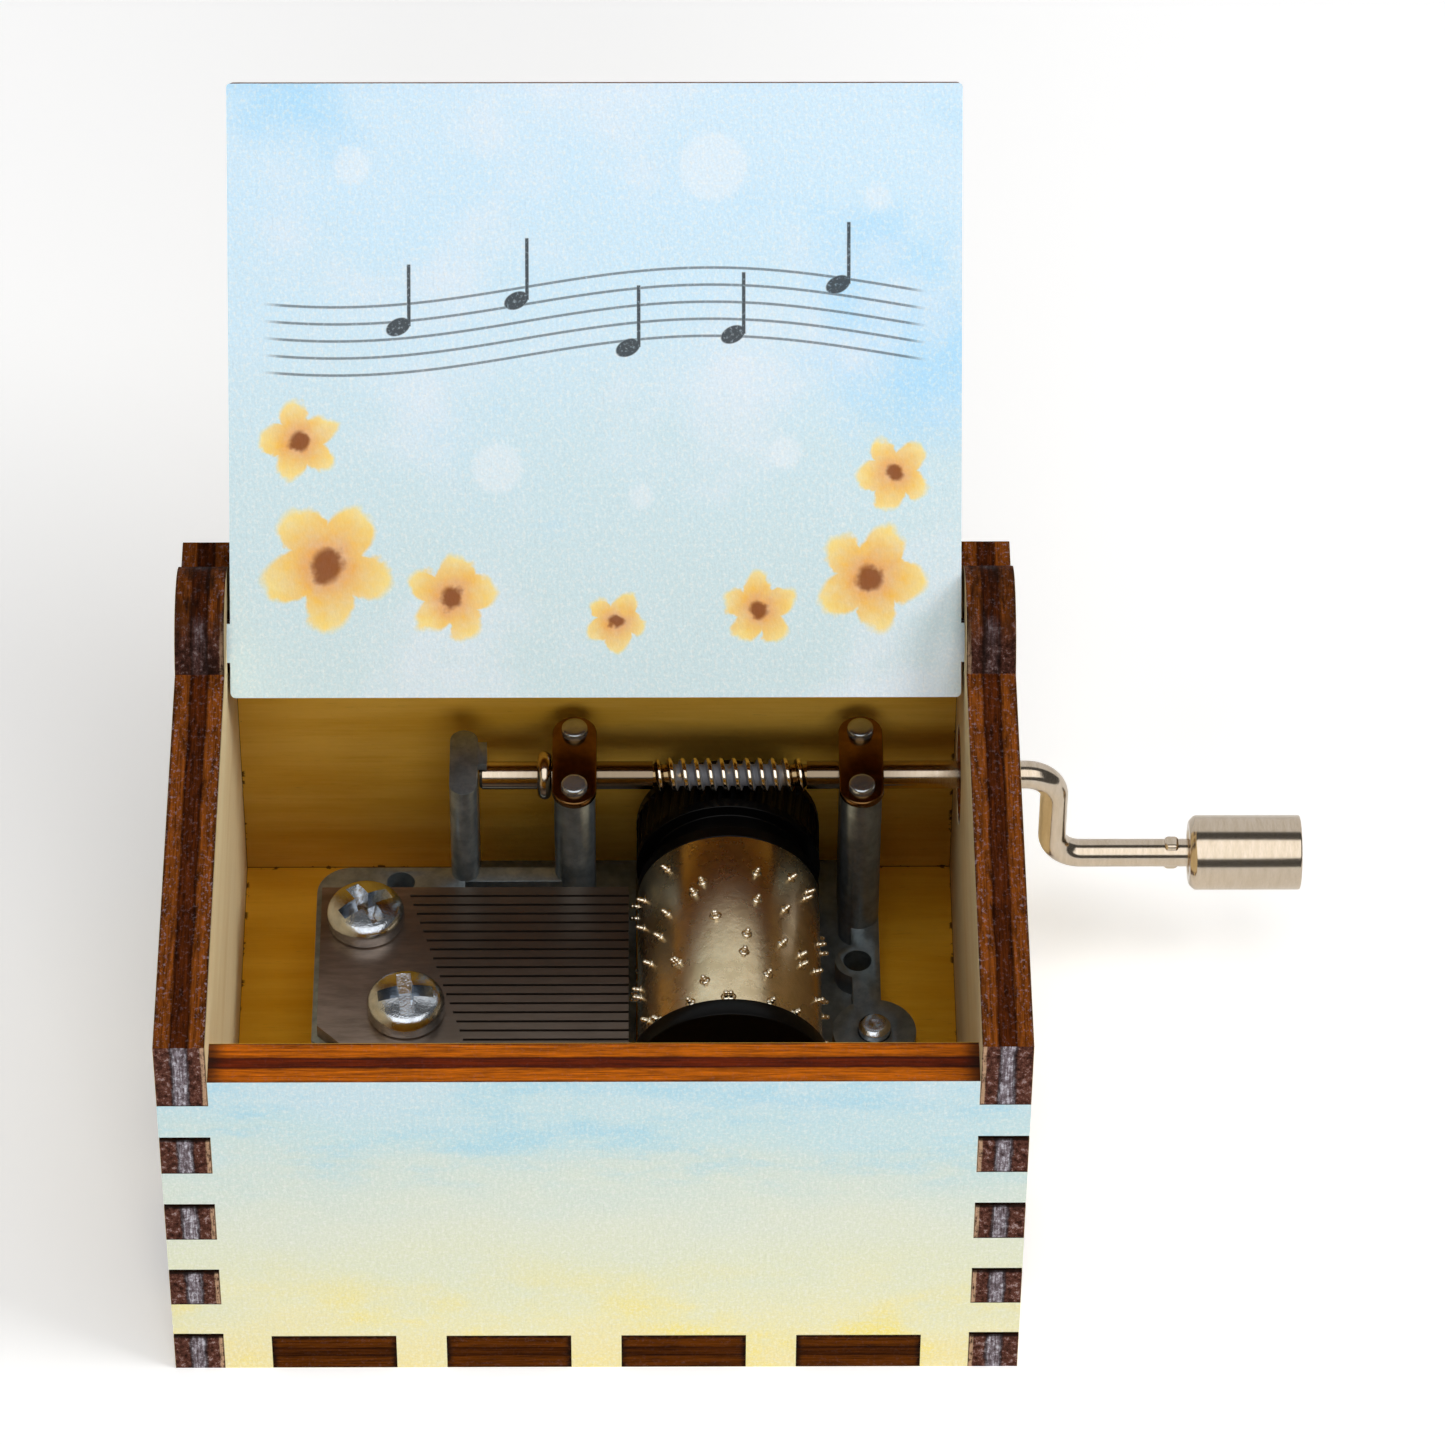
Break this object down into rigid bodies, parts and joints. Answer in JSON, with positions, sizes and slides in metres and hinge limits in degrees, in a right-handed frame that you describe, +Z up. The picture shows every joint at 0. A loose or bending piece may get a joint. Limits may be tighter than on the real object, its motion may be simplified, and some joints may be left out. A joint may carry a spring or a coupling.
{
  "type": "hand-cranked music box",
  "caption": "Music box with a finger-jointed plywood case and hinged lid over an open comb-and-cylinder movement, driven through a worm by a bent-wire hand crank with a turning knob",
  "frame": {"origin": "centre of the case's base, on the surface it stands on", "axes": "+X to the crank side, +Y to the back where the lid is hinged, +Z up"},
  "size_m": [0.0873, 0.072, 0.0689],
  "materials": {
    "plywood": "sanded faces with dark laser-cut edges",
    "washed_plywood": "pale watercolour wash on one face, dark laser-cut edges",
    "zinc_casting": "as-cast zinc, matt grey",
    "comb_steel": "dark ground steel",
    "weight_metal": "dull soft metal",
    "plated_screw": "bright zinc plate",
    "bronzed_steel": "dark bronzed strip",
    "nickelled_brass": "worn nickel plate with a warm tint",
    "pin_steel": "bright drawn wire",
    "black_plastic": "satin black moulding",
    "nickelled_wire": "polished nickel plate"
  },
  "bodies": {
    "case": {"bottom_panel": "plywood", "front_panel": "washed_plywood", "back_panel": "plywood", "left_side_panel": "plywood", "right_side_panel": "plywood", "bedplate": "zinc_casting", "comb": "comb_steel", "comb_weights": "weight_metal", "comb_screws": "plated_screw", "mounting_screws": "plated_screw", "left_bearing_cap": "bronzed_steel", "right_bearing_cap": "bronzed_steel", "bearing_cap_rivets": "zinc_casting"},
    "lid": {"lid_panel": "washed_plywood"},
    "crank": {"crank_shaft": "nickelled_wire", "shaft_collar": "nickelled_wire"},
    "knob": {"crank_knob": "nickelled_wire"},
    "cylinder": {"cylinder_sleeve": "nickelled_brass", "cylinder_pins": "pin_steel", "worm_wheel": "black_plastic", "front_end_cap": "black_plastic", "cylinder_axle": "pin_steel"}
  },
  "joints": [
    {"name": "lid_hinge", "type": "hinge", "parent": "case", "child": "lid", "pos_m": [0, 0.0171, 0.03498], "axis": [1, 0, 0], "range_deg": [0, 130]},
    {"name": "crank_turn", "type": "hinge", "parent": "case", "child": "crank", "pos_m": [0.03573, 0.01579, 0.0213], "axis": [1, 0, 0], "continuous": true},
    {"name": "cylinder_turn", "type": "hinge", "parent": "case", "child": "cylinder", "pos_m": [0.01025, 0, 0.0132], "axis": [0, 1, 0], "continuous": true},
    {"name": "knob_spin", "type": "hinge", "parent": "crank", "child": "knob", "pos_m": [0.05095, 0.01579, 0.0123], "axis": [1, 0, 0], "continuous": true}
  ],
  "couplings": [
    {"joint": "cylinder_turn", "follows": "crank_turn", "ratio": -0.022727}
  ]
}
